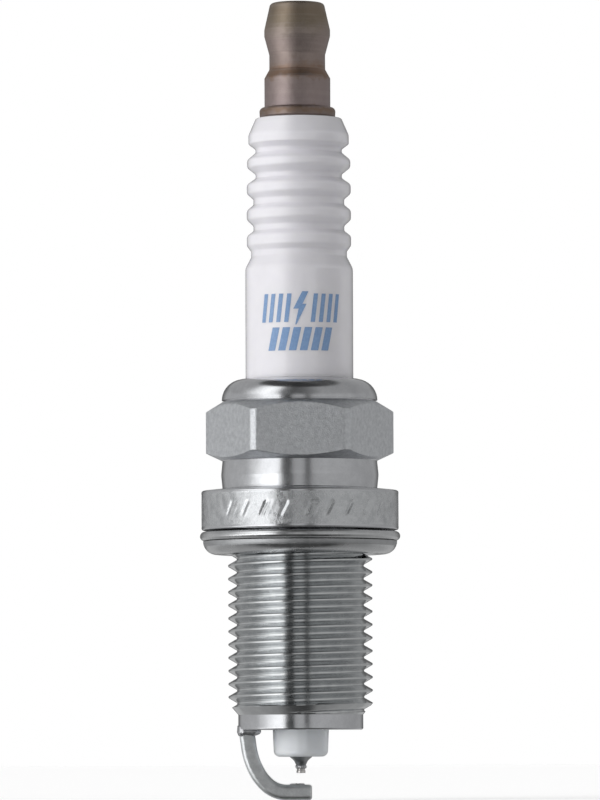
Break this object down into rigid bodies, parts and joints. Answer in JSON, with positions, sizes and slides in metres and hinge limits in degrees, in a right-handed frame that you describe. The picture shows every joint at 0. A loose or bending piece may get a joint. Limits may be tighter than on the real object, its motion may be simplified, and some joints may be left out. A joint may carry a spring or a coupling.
{
  "type": "spark plug",
  "caption": "Spark plug with ribbed ceramic insulator, wrench hexagon, threaded steel shell, captive gasket and bent side electrode over a fine firing tip.",
  "frame": {"origin": "middle of the gasket's flat sealing face, on the plug's axis", "axes": "+Z along the axis from the firing end to the terminal; the side electrode's leg stands on the -X side; two flats of the hexagon face +Y and -Y"},
  "size_m": [0.019, 0.019, 0.0762],
  "materials": {
    "terminal_steel": "heat-tinted satin steel",
    "alumina": "gloss glaze above the shell, matt below",
    "plated_steel": "nickel plated, satin",
    "gasket_steel": "bright plated strip",
    "nickel_alloy": "dull drawn surface",
    "weld_metal": "rough, slightly oxidised",
    "precious_metal": "fine satin",
    "copper": "plain copper",
    "seal_glass": "opaque copper-filled glass",
    "resistor_body": "matt dark composite",
    "packing_steel": "plain",
    "talc": "pressed powder"
  },
  "bodies": {
    "plug": {"terminal_stud": "terminal_steel", "insulator": "alumina", "shell": "plated_steel", "ground_electrode": "nickel_alloy", "ground_weld": "weld_metal", "ground_chip": "precious_metal", "ground_chip_weld": "weld_metal", "centre_electrode": "nickel_alloy", "centre_core": "copper", "iridium_tip": "precious_metal", "tip_weld": "weld_metal", "upper_glass_seal": "seal_glass", "resistor": "resistor_body", "lower_glass_seal": "seal_glass", "upper_packing_ring": "packing_steel", "lower_packing_ring": "packing_steel", "talc_fill": "talc", "seat_packing": "packing_steel"},
    "gasket_ring": {"gasket": "gasket_steel"}
  },
  "joints": [
    {"name": "gasket_spin", "type": "hinge", "parent": "plug", "child": "gasket_ring", "pos_m": [0, 0, 0], "axis": [0, 0, 1], "continuous": true}
  ]
}
